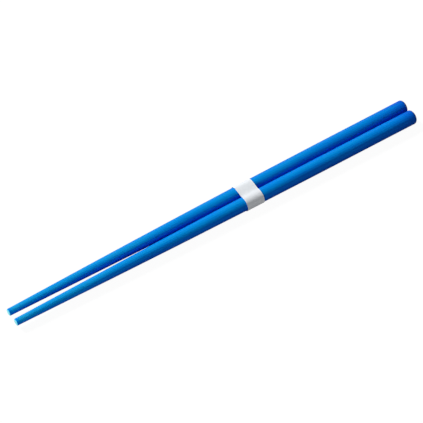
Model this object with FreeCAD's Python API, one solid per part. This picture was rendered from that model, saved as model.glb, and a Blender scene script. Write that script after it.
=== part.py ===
import FreeCAD, Part
import math
import os

# A pair of round chopsticks, lying side by side and held by a narrow band of paper.
# Lengths are in millimetres and angles in degrees. X runs along the pair, tips at -X and
# handle ends at +X. The origin is under the middle of the pair, on what it lies on.

# Each chopstick is turned from one length of wood: a flat tip, a straight taper, a long
# gentle swell, a plain round handle and a domed end.
stick_length = 225.0
tip_diameter = 3.44
handle_diameter = 7.24
taper_corner = 113.0        # from the tip to where the taper's line meets the handle's line
swell_reach = 70.0          # how far each side of that corner the swell reaches
tip_edge_radius = 0.35
end_dome_height = 1.9

# The two sticks lie with their tips a little nearer together than their handle ends.
toe_angle = 0.12            # how far each stick turns from the middle line
stick_gap = 0.10            # clearance where the two sticks come nearest

# The band is one strip of paper, pulled tight round both sticks. Its ends are glued one
# over the other on the underside.
band_centre = 130.0         # from the tips to the middle of the band
band_width = 9.5
paper_thickness = 0.12
band_slack = 0.05           # clearance between the sticks and the inside of the paper
valley_dip = 0.30           # how far the paper dips between the two sticks, on top
lap_length = 6.0            # how far one end of the strip lies over the other

tip_radius = tip_diameter / 2
handle_radius = handle_diameter / 2
taper_slope = (handle_radius - tip_radius) / taper_corner
swell_start = taper_corner - swell_reach
swell_end = taper_corner + swell_reach
toe = math.radians(toe_angle)


def stick_radius(from_tip):
    """Radius of a stick at a distance from its tip."""
    if from_tip <= swell_start:
        return tip_radius + from_tip * taper_slope
    if from_tip >= swell_end:
        return handle_radius
    # The swell is a parabola that leaves the taper and joins the handle smoothly.
    left_to_swell = (swell_end - from_tip) / (swell_end - swell_start)
    return handle_radius - swell_reach * taper_slope * left_to_swell ** 2


# The sticks are nearest where a side of the swell runs parallel to the pair's middle line.
nearest_from_tip = swell_end - (swell_end - swell_start) * math.tan(toe) / taper_slope
nearest_side = stick_radius(nearest_from_tip) * math.cos(toe)
tip_offset = stick_gap / 2 + nearest_side - nearest_from_tip * math.sin(toe)

# The band is sized on the thicker section, at its edge nearer the handles.
band_edge = band_centre + band_width / 2
band_radius = stick_radius(band_edge) + band_slack
band_offset = tip_offset + band_edge * math.sin(toe)
axis_height = band_radius + 2 * paper_thickness


def along(curve):
    """An edge of the whole length of a curve."""
    return curve.toShape()


def arc(centre, radius, start, end):
    """An arc in the plane across the pair, from one angle to another, counted from +Y to +Z."""
    def point(angle):
        turn = math.radians(angle)
        y = centre[0] + radius * math.cos(turn)
        z = centre[1] + radius * math.sin(turn)
        return FreeCAD.Vector(0, y, z)
    return along(Part.Arc(point(start), point((start + end) / 2), point(end)))


def line(start, end):
    """A straight edge in the plane across the pair."""
    return along(Part.LineSegment(FreeCAD.Vector(0, *start), FreeCAD.Vector(0, *end)))


def turned_stick():
    """One chopstick along X with the middle of its tip at the origin."""
    def point(x, radius):
        return FreeCAD.Vector(x, radius, 0)

    # The rounding between the flat tip and the taper touches both.
    taper_angle = math.atan(taper_slope)
    round_centre = tip_radius + tip_edge_radius * (taper_slope - 1 / math.cos(taper_angle))
    round_middle = (math.pi + math.pi / 2 + taper_angle) / 2    # halfway round it
    face_edge = point(0, round_centre)
    on_round = point(tip_edge_radius * (1 + math.cos(round_middle)),
                     round_centre + tip_edge_radius * math.sin(round_middle))
    taper_start = point(tip_edge_radius * (1 - math.sin(taper_angle)),
                        round_centre + tip_edge_radius * math.cos(taper_angle))

    taper_end = point(swell_start, stick_radius(swell_start))
    handle_start = point(swell_end, handle_radius)
    swell = Part.BezierCurve()
    swell.setPoles([taper_end, point(taper_corner, handle_radius), handle_start])

    dome_start = point(stick_length - end_dome_height, handle_radius)
    dome_top = point(stick_length, 0)
    tip_middle = point(0, 0)

    # The dome is a quarter of an ellipse, turned about the axis.
    dome = Part.BezierCurve()
    dome.setPoles([dome_start, point(stick_length, handle_radius), dome_top])
    dome.setWeight(2, math.sqrt(0.5))

    outline = Part.Wire([
        along(Part.LineSegment(tip_middle, face_edge)),
        along(Part.Arc(face_edge, on_round, taper_start)),
        along(Part.LineSegment(taper_start, taper_end)),
        along(swell),
        along(Part.LineSegment(handle_start, dome_start)),
        along(dome),
        along(Part.LineSegment(dome_top, tip_middle)),
    ])
    return Part.Face(outline).revolve(FreeCAD.Vector(0, 0, 0), FreeCAD.Vector(1, 0, 0), 360)


def laid_stick(side):
    """A chopstick in its place: side is +1 for the +Y stick and -1 for the -Y stick."""
    stick = turned_stick()
    stick.rotate(FreeCAD.Vector(0, 0, 0), FreeCAD.Vector(0, 0, 1), side * toe_angle)
    stick.translate(FreeCAD.Vector(-stick_length / 2, side * tip_offset, axis_height))
    return stick


def loop_edges(radius, rear_bottom, front_bottom):
    """One side of the paper, from the rear stick's underside over the top to the front one's."""
    # The paper across the valley is an arc that touches the arcs round both sticks. Past the
    # front stick's side the strip runs one thickness lower, to pass under its other end.
    reach = (band_offset ** 2 + valley_dip ** 2) / (2 * valley_dip)
    lean = math.degrees(math.asin(band_offset / reach))
    valley_centre = (0, axis_height + reach - valley_dip)
    valley_radius = reach - radius
    rear = (band_offset, axis_height)
    front = (-band_offset, axis_height)
    lowered_height = axis_height - paper_thickness
    side_y = -band_offset - radius
    return [
        line(rear_bottom, (band_offset, axis_height - radius)),
        arc(rear, radius, -90, 90 + lean),
        arc(valley_centre, valley_radius, -90 + lean, -90 - lean),
        arc(front, radius, 90 - lean, 180),
        line((side_y, axis_height), (side_y, lowered_height)),
        arc((-band_offset, lowered_height), radius, 180, 270),
        line((-band_offset, lowered_height - radius), front_bottom),
    ]


def glued_band():
    """The paper strip round both sticks, as one closed loop with its glued lap."""
    outer_radius = band_radius + paper_thickness
    lap_top = (-lap_length / 2, 2 * paper_thickness)
    lap_inside = (-lap_length / 2, paper_thickness)
    lap_outside = (lap_length / 2, paper_thickness)
    lap_bottom = (lap_length / 2, 0)
    outside = loop_edges(outer_radius, lap_outside, lap_bottom)
    outside.append(line(lap_bottom, lap_outside))
    inside = loop_edges(band_radius, lap_top, lap_inside)
    inside.append(line(lap_inside, lap_top))
    section = Part.makeFace([Part.Wire(outside), Part.Wire(inside)], "Part::FaceMakerBullseye")
    band = section.extrude(FreeCAD.Vector(band_width, 0, 0))
    band.translate(FreeCAD.Vector(band_edge - band_width - stick_length / 2, 0, 0))
    return band


pieces = {
    "right_chopstick": laid_stick(1),
    "left_chopstick": laid_stick(-1),
    "paper_band": glued_band(),
}

os.makedirs("parts", exist_ok=True)
for name, shape in pieces.items():
    shape.exportStep(f"parts/{name}.step")
    print(name, shape.ShapeType, shape.isValid(), round(shape.Volume, 2))
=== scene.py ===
import math

import bpy
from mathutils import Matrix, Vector, noise


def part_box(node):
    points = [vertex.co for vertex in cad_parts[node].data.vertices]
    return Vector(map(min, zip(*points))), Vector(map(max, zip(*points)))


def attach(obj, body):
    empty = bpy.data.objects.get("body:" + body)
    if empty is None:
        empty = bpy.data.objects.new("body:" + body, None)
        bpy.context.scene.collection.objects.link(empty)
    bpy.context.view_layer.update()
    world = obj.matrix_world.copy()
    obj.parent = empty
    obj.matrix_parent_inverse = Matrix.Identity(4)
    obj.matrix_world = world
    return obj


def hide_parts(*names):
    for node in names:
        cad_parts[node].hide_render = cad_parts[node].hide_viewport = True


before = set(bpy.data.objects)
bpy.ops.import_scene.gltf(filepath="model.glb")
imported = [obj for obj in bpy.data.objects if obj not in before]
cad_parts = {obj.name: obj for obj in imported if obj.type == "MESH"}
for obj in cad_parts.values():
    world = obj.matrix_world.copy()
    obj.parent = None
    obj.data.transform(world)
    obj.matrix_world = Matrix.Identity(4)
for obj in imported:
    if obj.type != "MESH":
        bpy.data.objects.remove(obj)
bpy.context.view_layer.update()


# The chopsticks. Each is turned from one length of pale wood, its tip cut square and its
# handle end rounded to a low dome. It is dipped in opaque blue lacquer, which the end grain
# of the cut tip soaks up, so that the pale wood shows through there.

tip_radius = 0.00172
taper_corner = 0.113          # from the tip to where the taper's line meets the handle's line
swell_reach = 0.070           # how far each side of that corner the swell reaches
tip_edge_radius = 0.00035
end_dome_height = 0.0019
toe_angle = math.radians(0.12)
face_rings = (0.0, 0.2, 0.4, 0.6, 0.72)   # rings on the flat of the tip, in shares of its radius
ring_spacing = 0.0012
sides = 96
edge_steps = 10
dome_steps = 24
point_radius = 1e-7           # a ring smaller than this is a single point
turning_waver = 0.000014      # how far the turned surface wanders from a true round
waver_length = 0.017
waver_shift = 7               # gives each stick a waver of its own
settled_length = 0.002        # from the cut tip to where the surface and the coat are free
lacquer_bead = 0.000025       # lacquer that gathers just behind the tip's cut edge
bead_place = 0.0011
bead_length = 0.0007

full_coat = 0.8               # the coat's thickness, as a share of the thickest there is
tip_face_coat = 0.05
rim_thinning = 1.5            # how soon the coat thins round the tip's edge
painted_tip_light = 0.11           # how much lighter the lacquer is made at the tip, where the light falls stronger: painted light
painted_tip_light_length = 0.075
painted_end_shade = 0.18          # how much deeper blue the handle's dome is made, on the end that faces away from the light: painted shade
painted_end_shade_length = 0.004
painted_underside_shade = 0.15               # how much deeper blue the underside is made than the top, all along: painted shade


def painted_tip_light_at(from_tip):
    """How much lighter the lacquer is made at a distance from the tip: painted light."""
    return painted_tip_light * math.exp(-from_tip / painted_tip_light_length)


def stick_outline(length, handle_radius):
    """Rings from the middle of the tip to the dome's top: distance from the tip, radius, and the
    lacquer's thickness with painted light and shade.
    """
    slope = (handle_radius - tip_radius) / taper_corner
    swell_start = taper_corner - swell_reach
    swell_end = taper_corner + swell_reach

    def radius(from_tip):
        if from_tip <= swell_start:
            return tip_radius + from_tip * slope
        left = max(0.0, (swell_end - from_tip) / (swell_end - swell_start))
        return handle_radius - swell_reach * slope * left ** 2

    # The coat value, with painted shade that deepens the handle's end and painted light that pales
    # the tip.
    def coat_and_painted_light(from_tip):
        end_shade = painted_end_shade * math.exp((from_tip - length) / painted_end_shade_length)
        return full_coat - painted_tip_light_at(from_tip) + end_shade

    outline = [(0.0, tip_radius * share, tip_face_coat) for share in face_rings]
    for step in range(edge_steps + 1):
        turn = step / edge_steps * math.pi / 2
        from_tip = tip_edge_radius * (1 - math.cos(turn))
        inward = tip_edge_radius * (1 - math.sin(turn))
        covered = math.sin(turn) ** rim_thinning
        rim_coat_and_painted_light = tip_face_coat + (coat_and_painted_light(from_tip) - tip_face_coat) * covered
        outline.append((from_tip, radius(from_tip) - inward, rim_coat_and_painted_light))
    dome_start = length - end_dome_height
    rings = int((dome_start - tip_edge_radius) / ring_spacing)
    for step in range(1, rings + 1):
        from_tip = tip_edge_radius + (dome_start - tip_edge_radius) * step / rings
        bead = lacquer_bead * math.exp(-((from_tip - bead_place) / bead_length) ** 2)
        outline.append((from_tip, radius(from_tip) + bead, coat_and_painted_light(from_tip)))
    for step in range(1, dome_steps + 1):
        turn = step / dome_steps * math.pi / 2
        from_tip = dome_start + end_dome_height * math.sin(turn)
        outline.append((from_tip, handle_radius * math.cos(turn), coat_and_painted_light(from_tip)))
    return outline


def turned_stick(name, node, side):
    """A lathed mesh on the place of its node: side is +1 for the +Y stick and -1 for the other."""
    low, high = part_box(node)
    length = high.x - low.x
    handle_radius = (high.z - low.z) / 2
    axis_height = (high.z + low.z) / 2
    end_y = (high.y if side > 0 else low.y) - side * handle_radius
    along = Vector((math.cos(toe_angle), side * math.sin(toe_angle), 0))
    across = Vector((-along.y, along.x, 0))
    up = Vector((0, 0, 1))
    tip = Vector((high.x, end_y, axis_height)) - along * length
    apart = Vector((0, 0, waver_shift)) * side

    points = []
    coats_and_painted_light = []
    rings = []
    for from_tip, radius, coat_and_painted_light in stick_outline(length, handle_radius):
        middle = tip + along * from_tip
        corners = 1 if radius < point_radius else sides
        ring = []
        for corner in range(corners):
            turn = corner / sides * 2 * math.pi
            outward = across * math.cos(turn) + up * math.sin(turn)
            place = Vector((from_tip / waver_length, math.cos(turn), math.sin(turn))) + apart
            settled = min(1, from_tip / settled_length) * min(1, radius / handle_radius)
            waver = turning_waver * noise.noise(place) * settled
            ring.append(len(points))
            points.append(middle + outward * (radius + waver))
            # The coat value is made higher on the underside and lower on top, more so near the tip:
            # painted shade below and painted light on top.
            coats_and_painted_light.append(coat_and_painted_light - (painted_underside_shade + painted_tip_light_at(from_tip)) * outward.z * settled)
        rings.append(ring)

    faces = []
    for inner, outer in zip(rings, rings[1:]):
        for corner in range(sides):
            after = (corner + 1) % sides
            if len(inner) == 1:
                faces.append((inner[0], outer[after], outer[corner]))
            elif len(outer) == 1:
                faces.append((inner[corner], inner[after], outer[0]))
            else:
                faces.append((inner[corner], inner[after], outer[after], outer[corner]))
    mesh = bpy.data.meshes.new(name)
    mesh.from_pydata([tuple(point) for point in points], [], faces)
    mesh.shade_smooth()
    # These values hold painted shade and painted light along with the coat.
    thickness = mesh.attributes.new("coat_and_painted_light", "FLOAT", "POINT")
    thickness.data.foreach_set("value", coats_and_painted_light)
    stick = bpy.data.objects.new(name, mesh)
    bpy.context.scene.collection.objects.link(stick)
    return stick


def add_node(tree, kind, values=None, **settings):
    """A new shader node: settings are its own fields, and values its plain inputs by name."""
    node = tree.nodes.new(kind)
    for field, value in settings.items():
        setattr(node, field, value)
    for socket, value in (values or {}).items():
        node.inputs[socket].default_value = value
    return node


grain_detail = 3.0
grain_roughness = 0.55


def grain_group():
    """Fine irregular marks of a given length along X and a given width, all over a surface."""
    group = bpy.data.node_groups.new("grain", "ShaderNodeTree")
    group.interface.new_socket("Place", in_out="INPUT", socket_type="NodeSocketVector")
    group.interface.new_socket("Length", in_out="INPUT", socket_type="NodeSocketFloat")
    group.interface.new_socket("Width", in_out="INPUT", socket_type="NodeSocketFloat")
    group.interface.new_socket("Marks", in_out="OUTPUT", socket_type="NodeSocketFloat")
    inputs = add_node(group, "NodeGroupInput")
    outputs = add_node(group, "NodeGroupOutput")
    size = add_node(group, "ShaderNodeCombineXYZ")
    scaled = add_node(group, "ShaderNodeVectorMath", operation="DIVIDE")
    marks = add_node(group, "ShaderNodeTexNoise", {"Scale": 1.0, "Detail": grain_detail,
                                                   "Roughness": grain_roughness})
    group.links.new(inputs.outputs["Length"], size.inputs["X"])
    group.links.new(inputs.outputs["Width"], size.inputs["Y"])
    group.links.new(inputs.outputs["Width"], size.inputs["Z"])
    group.links.new(inputs.outputs["Place"], scaled.inputs[0])
    group.links.new(size.outputs["Vector"], scaled.inputs[1])
    group.links.new(scaled.outputs["Vector"], marks.inputs["Vector"])
    group.links.new(marks.outputs["Fac"], outputs.inputs["Marks"])
    return group


grain = grain_group()


def grain_marks(tree, place, length, width):
    """The grain group in a material, with its own size of mark. Gives the output of its marks."""
    node = add_node(tree, "ShaderNodeGroup", node_tree=grain)
    node.inputs["Length"].default_value = length
    node.inputs["Width"].default_value = width
    tree.links.new(place, node.inputs["Place"])
    return node.outputs["Marks"]


def weighted_sum(tree, start, parts):
    """An output that adds each part times its weight to start, which is an output or a number."""
    total = start
    for output, weight in parts:
        step = add_node(tree, "ShaderNodeMath", {1: weight}, operation="MULTIPLY_ADD")
        tree.links.new(output, step.inputs[0])
        if isinstance(total, float):
            step.inputs[2].default_value = total
        else:
            tree.links.new(total, step.inputs[2])
        total = step.outputs[0]
    return total


lacquer_gloss = 0.24
lacquer_glint = (0.0, 0.12, 1.0, 1)       # the blue that its gloss takes on
pore_size = (0.0070, 0.00022)             # length along the stick and width
flow_size = (0.0300, 0.0030)
skin_size = (0.0010, 0.0007)
ring_stretch = (0.02, 1, 0.45)            # draws the growth rings out along the stick
ring_pattern = {"Scale": 330.0, "Distortion": 2.5, "Detail": 2.0, "Detail Scale": 1.2}
pores_in_coat = 0.09                      # how much each mark varies the coat's thickness
flow_in_coat = 0.10
rings_in_coat = 0.035
lacquer_roughness = 0.33
flow_in_roughness = 0.14
pores_in_roughness = 0.10
lacquer_relief = 0.00005                  # the height of its bumps, and each mark's share of it
pores_in_relief = 0.5
skin_in_relief = 0.35
rings_in_relief = 0.15

# The lacquer's colour at each value of the coat, from bare end grain to the thickest. The value
# carries painted light and shade as well: lighter stops on top and near the tip, deeper ones on the
# underside and at the handle's end.
coat_and_painted_light_colours = ((0.0, (0.36, 0.95, 0.97)), (0.12, (0.20, 0.81, 0.94)), (0.35, (0.04, 0.48, 0.82)),
                (0.54, (0.013, 0.370, 0.690)), (0.61, (0.0, 0.268, 0.74)),
                (0.65, (0.0, 0.210, 0.745)), (0.70, (0.0, 0.140, 0.70)),
                (0.78, (0.0, 0.096, 0.60)), (0.86, (0.0, 0.078, 0.52)), (1.0, (0.0, 0.060, 0.46)))


def blue_lacquer():
    material = bpy.data.materials.new("blue_lacquer")
    material.use_nodes = True
    tree = material.node_tree
    surface = tree.nodes["Principled BSDF"]
    surface.inputs["Specular IOR Level"].default_value = lacquer_gloss
    surface.inputs["Specular Tint"].default_value = lacquer_glint

    place = add_node(tree, "ShaderNodeTexCoord").outputs["Object"]
    coat_and_painted_light = add_node(tree, "ShaderNodeAttribute", attribute_name="coat_and_painted_light").outputs["Fac"]
    pores = grain_marks(tree, place, *pore_size)
    flow = grain_marks(tree, place, *flow_size)
    skin = grain_marks(tree, place, *skin_size)

    # Growth rings lie along the stick, and cross the cut tip as pale and dark lines.
    stretched = add_node(tree, "ShaderNodeMapping", {"Scale": ring_stretch})
    wave = add_node(tree, "ShaderNodeTexWave", ring_pattern, wave_type="BANDS", bands_direction="Y")
    tree.links.new(place, stretched.inputs["Vector"])
    tree.links.new(stretched.outputs["Vector"], wave.inputs["Vector"])
    rings = wave.outputs["Fac"]

    # The colour follows the coat's thickness, with the painted light and shade that the coat value
    # carries. The marks average a half, so each weight here is offset to leave the thickness as it is
    # on average.
    uneven = [(pores, pores_in_coat), (flow, flow_in_coat), (rings, rings_in_coat)]
    offset = -sum(weight for output, weight in uneven) / 2
    thickness = weighted_sum(tree, offset, uneven)
    total = add_node(tree, "ShaderNodeMath", operation="ADD", use_clamp=True)
    tree.links.new(coat_and_painted_light, total.inputs[0])
    tree.links.new(thickness, total.inputs[1])
    colour = add_node(tree, "ShaderNodeValToRGB")
    ramp = colour.color_ramp
    for stop, shade in coat_and_painted_light_colours[1:-1]:
        ramp.elements.new(stop)
    for element, (stop, shade) in zip(ramp.elements, coat_and_painted_light_colours):
        element.position = stop
        element.color = (*shade, 1)
    tree.links.new(total.outputs[0], colour.inputs["Fac"])
    tree.links.new(colour.outputs["Color"], surface.inputs["Base Color"])

    roughness = weighted_sum(tree, lacquer_roughness, [(flow, flow_in_roughness),
                                                       (pores, pores_in_roughness)])
    tree.links.new(roughness, surface.inputs["Roughness"])
    bump = add_node(tree, "ShaderNodeBump", {"Strength": 1.0, "Distance": lacquer_relief})
    height = weighted_sum(tree, 0.0, [(pores, pores_in_relief), (skin, skin_in_relief),
                                      (rings, rings_in_relief)])
    tree.links.new(height, bump.inputs["Height"])
    tree.links.new(bump.outputs["Normal"], surface.inputs["Normal"])
    return material


lacquer = blue_lacquer()
for name, node, side in (("stick_right", "right_chopstick", 1), ("stick_left", "left_chopstick", -1)):
    stick = turned_stick(name, node, side)
    stick.data.materials.append(lacquer)
    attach(stick, "root")
    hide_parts(node)


# The paper band. One strip of smooth white paper, cut straight and wrapped once round both
# sticks. It is pressed down a little between them on top, and its ends are glued one over
# the other on the underside.

paper_thickness = 0.00012
glue_gap = 0.000006           # left between the two layers of the lap
lap_length = 0.006
dip_depth = 0.00038
dip_place = -0.0009           # how far its lowest line lies from the middle, towards the -Y stick
path_step = 0.00015
columns = 30                  # across the width of the strip
top_wave = 0.000035           # how far the paper wanders where nothing backs it
side_wave = 0.000012          # and where it lies round a stick
edge_lift = 0.000020          # how far its cut edges stand off the sticks
edge_reach = 0.0006
cut_wander = 0.000030         # how far the cut is from straight
cut_waves = 900               # how close its wanders lie, in waves to the metre
round_waves = 420             # and the paper's own, round the sticks and across the strip
across_waves = 300
cut_seed = 3.0
wave_seed = 11.0
backed_free = 0.35            # how free the paper is where it lies round a stick
free_start = 4                # how soon it comes free of the table: in a quarter of its half turn
valley_start = 2              # and over the valley: halfway to its lowest line
step_share = 1.6              # how fast the strip steps down a thickness, to pass under its end
step_delay = 0.3
layers_high = 3               # layers of paper in the band's height: one on top, two in the lap
crease_angle = math.radians(50)


def smooth_share(value):
    """0 to 1 with a soft start and a soft end."""
    value = min(1.0, max(0.0, value))
    return value * value * (3 - 2 * value)


def strip_path(low, high):
    """Points across the pair (y, z) on the middle of the paper, from its inner end to its outer
    end, each with how free the paper is there: 0 on the table, 1 over the valley."""
    ring_radius = (high.z - low.z - layers_high * paper_thickness) / 2
    offset = high.y - ring_radius - paper_thickness
    axis_height = ring_radius + 2 * paper_thickness
    radius = ring_radius + paper_thickness / 2
    turns = round(radius * math.pi / path_step)
    path = []

    def straight(start, end, height):
        steps = max(2, round(abs(end - start) / path_step))
        path.extend((start + (end - start) * step / steps, height, 0.0) for step in range(steps))

    straight(-lap_length / 2, offset, axis_height - radius)
    for step in range(turns):
        turn = math.pi * (step / turns - 0.5)
        free = backed_free * smooth_share(step / turns * free_start)
        path.append((offset + radius * math.cos(turn), axis_height + radius * math.sin(turn), free))
    span = round(2 * offset / path_step)
    for step in range(span):
        y = offset - 2 * offset * step / span
        reach = offset - dip_place if y > dip_place else offset + dip_place
        share = 1 - min(1, abs(y - dip_place) / reach)
        dip = dip_depth * (0.5 - 0.5 * math.cos(math.pi * share))
        free = backed_free + (1 - backed_free) * smooth_share(share * valley_start)
        path.append((y, axis_height + radius - dip, free))
    for step in range(turns):
        share = step / turns
        turn = math.pi * (share + 0.5)
        height = axis_height - paper_thickness * smooth_share(share * step_share - step_delay)
        free = backed_free * smooth_share((1 - share) * free_start)
        path.append((-offset + radius * math.cos(turn), height + radius * math.sin(turn), free))
    straight(-offset, lap_length / 2, axis_height - paper_thickness - radius)
    path.append((lap_length / 2, axis_height - paper_thickness - radius, 0.0))
    return path


def paper_strip(name, node):
    """The strip as a closed mesh: two sheets of points, joined along the cuts and both ends."""
    low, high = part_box(node)
    path = strip_path(low, high)
    half = (paper_thickness - glue_gap) / 2
    points = []
    on_sheet = []
    travelled = 0.0
    for step, (y, z, free) in enumerate(path):
        before = path[max(0, step - 1)]
        after = path[min(len(path) - 1, step + 1)]
        ahead = Vector((0, after[0] - before[0], after[1] - before[1])).normalized()
        outward = Vector((0, ahead.z, -ahead.y))
        travelled += math.hypot(y - before[0], z - before[1])
        ends = []
        for end_x, inward in ((low.x, 1), (high.x, -1)):
            wander = noise.noise(Vector((travelled * cut_waves, end_x * cut_waves, cut_seed)))
            ends.append(end_x + inward * cut_wander * (1 + wander))
        for column in range(columns + 1):
            x = ends[0] + (ends[1] - ends[0]) * column / columns
            from_edge = min(x - ends[0], ends[1] - x)
            wave = noise.noise(Vector((travelled * round_waves, x * across_waves, wave_seed)))
            unbacked = max(0.0, (free - backed_free) / (1 - backed_free))
            reach = side_wave + (top_wave - side_wave) * unbacked
            lift = edge_lift * smooth_share(1 - from_edge / edge_reach)
            moved = (wave * reach + lift) * min(1.0, free / backed_free)
            for layer in (-1, 1):
                points.append(Vector((x, y, z)) + outward * (moved + layer * half))
                on_sheet.append((travelled, x, layer * half))

    row = 2 * (columns + 1)
    faces = []
    for step in range(len(path) - 1):
        first = step * row
        for column in range(columns):
            here = first + 2 * column
            faces.append((here, here + 2, here + 2 + row, here + row))
            faces.append((here + 1, here + 1 + row, here + 3 + row, here + 3))
        last = first + 2 * columns
        faces.append((first, first + row, first + row + 1, first + 1))
        faces.append((last, last + 1, last + row + 1, last + row))
    end = (len(path) - 1) * row
    for column in range(columns):
        here = 2 * column
        faces.append((here, here + 1, here + 3, here + 2))
        faces.append((end + here, end + here + 2, end + here + 3, end + here + 1))
    mesh = bpy.data.meshes.new(name)
    mesh.from_pydata([tuple(point) for point in points], [], faces)
    mesh.shade_smooth()
    mesh.set_sharp_from_angle(angle=crease_angle)
    sheet = mesh.attributes.new("on_sheet", "FLOAT_VECTOR", "POINT")
    sheet.data.foreach_set("vector", [number for place in on_sheet for number in place])
    strip = bpy.data.objects.new(name, mesh)
    bpy.context.scene.collection.objects.link(strip)
    return strip


paper_gloss = 0.25
fibre_size = (0.00045, 0.00009)
fibre_turns = (15, 75, -45)   # the ways that the fibres lie in the sheet, in degrees
cloud_size = (0.0020, 0.0014)
thin_white = (0.784, 0.820, 0.858, 1)
full_white = (0.872, 0.905, 0.940, 1)
thin_stop = 0.3
full_stop = 0.7
clouds_in_colour = 0.5
fibres_in_colour = 0.5
paper_roughness = 0.45
clouds_in_paper_roughness = 0.2
fibres_in_paper_roughness = 0.1
paper_relief = 0.00002        # the height of its bumps, and the share of fibres and clouds in it
fibres_in_paper_relief = 0.7
clouds_in_paper_relief = 0.3


def white_paper():
    material = bpy.data.materials.new("white_paper")
    material.use_nodes = True
    tree = material.node_tree
    surface = tree.nodes["Principled BSDF"]
    surface.inputs["Specular IOR Level"].default_value = paper_gloss

    # Short fibres lie every way in the sheet, and gather in faint clouds.
    sheet = add_node(tree, "ShaderNodeAttribute", attribute_name="on_sheet").outputs["Vector"]
    felted = []
    for degrees in fibre_turns:
        turned = add_node(tree, "ShaderNodeMapping", {"Rotation": (0, 0, math.radians(degrees))})
        tree.links.new(sheet, turned.inputs["Vector"])
        marks = grain_marks(tree, turned.outputs["Vector"], *fibre_size)
        felted.append((marks, 1 / len(fibre_turns)))
    fibres = weighted_sum(tree, 0.0, felted)
    clouds = grain_marks(tree, sheet, *cloud_size)

    shade = weighted_sum(tree, 0.0, [(clouds, clouds_in_colour), (fibres, fibres_in_colour)])
    colour = add_node(tree, "ShaderNodeValToRGB")
    ramp = colour.color_ramp
    ramp.elements[0].position = thin_stop
    ramp.elements[0].color = thin_white
    ramp.elements[1].position = full_stop
    ramp.elements[1].color = full_white
    tree.links.new(shade, colour.inputs["Fac"])
    tree.links.new(colour.outputs["Color"], surface.inputs["Base Color"])

    roughness = weighted_sum(tree, paper_roughness, [(clouds, clouds_in_paper_roughness),
                                                     (fibres, fibres_in_paper_roughness)])
    tree.links.new(roughness, surface.inputs["Roughness"])
    bump = add_node(tree, "ShaderNodeBump", {"Strength": 1.0, "Distance": paper_relief})
    height = weighted_sum(tree, 0.0, [(fibres, fibres_in_paper_relief),
                                      (clouds, clouds_in_paper_relief)])
    tree.links.new(height, bump.inputs["Height"])
    tree.links.new(bump.outputs["Normal"], surface.inputs["Normal"])
    return material


band = paper_strip("band_paper", "paper_band")
band.data.materials.append(white_paper())
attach(band, "root")
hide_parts("paper_band")


# The floor. A smooth white sheet, far wider than the view, that the pair lies on. The camera
# sees it nearly white, with the pair's faint shadow.

floor_half = 3.0
floor_white = 0.9             # the colour that takes the shadow, as the camera sees it
floor_glow = 1.05             # the white that it is mixed with for the camera, and its share
glow_share = 0.91
floor_bounce = 0.28           # how much light it gives back to the pair


def white_floor():
    material = bpy.data.materials.new("white_floor")
    material.use_nodes = True
    tree = material.node_tree
    tree.nodes.clear()
    out = add_node(tree, "ShaderNodeOutputMaterial")
    matt = add_node(tree, "ShaderNodeBsdfDiffuse", {"Color": (*[floor_white] * 3, 1)})
    glow = add_node(tree, "ShaderNodeEmission", {"Strength": floor_glow})
    seen = add_node(tree, "ShaderNodeMixShader", {"Fac": glow_share})
    bounce = add_node(tree, "ShaderNodeBsdfDiffuse", {"Color": (*[floor_bounce] * 3, 1)})
    path = add_node(tree, "ShaderNodeLightPath")
    either = add_node(tree, "ShaderNodeMixShader")
    tree.links.new(matt.outputs[0], seen.inputs[1])
    tree.links.new(glow.outputs[0], seen.inputs[2])
    tree.links.new(path.outputs["Is Camera Ray"], either.inputs["Fac"])
    tree.links.new(bounce.outputs[0], either.inputs[1])
    tree.links.new(seen.outputs[0], either.inputs[2])
    tree.links.new(either.outputs[0], out.inputs["Surface"])
    return material


floor_mesh = bpy.data.meshes.new("floor")
corners = [(-floor_half, -floor_half, 0), (floor_half, -floor_half, 0),
           (floor_half, floor_half, 0), (-floor_half, floor_half, 0)]
floor_mesh.from_pydata(corners, [], [(0, 1, 2, 3)])
floor_mesh.materials.append(white_floor())
floor = bpy.data.objects.new("floor", floor_mesh)
bpy.context.scene.collection.objects.link(floor)


# The studio. A white room gives a dim light, stronger from the side that the tips point to.
# The main lamp stands high behind the pair, nearer to the tips. A weak one stands low beyond
# the tips, a little in front of the pair.

tip_side_light = 0.18
handle_side_light = 0.05

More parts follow.
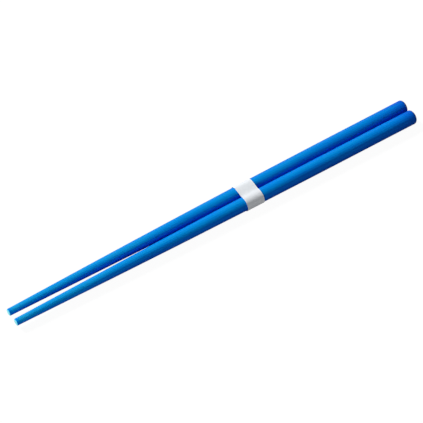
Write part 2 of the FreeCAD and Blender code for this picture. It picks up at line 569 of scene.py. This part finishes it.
world = bpy.data.worlds.new("studio")
bpy.context.scene.world = world
world.use_nodes = True
tree = world.node_tree
background = tree.nodes["Background"]
background.inputs["Color"].default_value = (1, 1, 1, 1)
path = add_node(tree, "ShaderNodeLightPath")
seen = path.outputs["Is Camera Ray"]
for kind in ("Is Glossy Ray", "Is Transmission Ray"):
    either = add_node(tree, "ShaderNodeMath", operation="MAXIMUM")
    tree.links.new(seen, either.inputs[0])
    tree.links.new(path.outputs[kind], either.inputs[1])
    seen = either.outputs[0]
way = add_node(tree, "ShaderNodeTexCoord")
parts = add_node(tree, "ShaderNodeSeparateXYZ")
room = add_node(tree, "ShaderNodeMapRange", {"From Min": -1.0, "From Max": 1.0,
                                             "To Min": tip_side_light, "To Max": handle_side_light})
tree.links.new(way.outputs["Generated"], parts.inputs["Vector"])
tree.links.new(parts.outputs["X"], room.inputs["Value"])
strength = add_node(tree, "ShaderNodeMapRange", {"To Max": 1.0})
tree.links.new(room.outputs["Result"], strength.inputs["To Min"])
tree.links.new(seen, strength.inputs["Value"])
tree.links.new(strength.outputs["Result"], background.inputs["Strength"])


def round_lamp(name, direction, distance, size, power):
    """A round lamp that faces the middle of the pair from a direction and a distance."""
    light = bpy.data.lights.new(name, "AREA")
    light.shape = "DISK"
    light.size = size
    light.energy = power
    lamp = bpy.data.objects.new(name, light)
    bpy.context.scene.collection.objects.link(lamp)
    side = Vector(direction).normalized()
    lamp.location = side * distance
    lamp.rotation_euler = side.to_track_quat("Z", "Y").to_euler()


round_lamp("main_lamp", direction=(-0.36, 0.65, 0.67), distance=2.0, size=0.55, power=45.5)
round_lamp("weak_lamp", direction=(-0.75, -0.50, 0.10), distance=0.8, size=0.4, power=3.0)


# The camera looks down on the pair from the front, with the tips at the lower left.

camera_elevation = math.radians(52.09)
camera_azimuth = math.radians(-33.36)
camera_distance = 1.2
focal_pixels = 2540.5
image_pixels = 423
sensor_width = 36.0
aim_x = -0.00245
aim_y = 0.00118
aim_drop = 0.00005            # how far below the sticks' axes it aims

back = Vector((math.sin(camera_azimuth) * math.cos(camera_elevation),
               -math.cos(camera_azimuth) * math.cos(camera_elevation),
               math.sin(camera_elevation)))
low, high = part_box("right_chopstick")
camera_data = bpy.data.cameras.new("camera")
camera_data.sensor_width = sensor_width
camera_data.lens = focal_pixels * sensor_width / image_pixels
camera = bpy.data.objects.new("camera", camera_data)
bpy.context.scene.collection.objects.link(camera)
camera.location = Vector((aim_x, aim_y, (low.z + high.z) / 2 - aim_drop)) + back * camera_distance
camera.rotation_euler = back.to_track_quat("Z", "Y").to_euler()
bpy.context.scene.camera = camera
bpy.context.scene.view_settings.view_transform = "Standard"
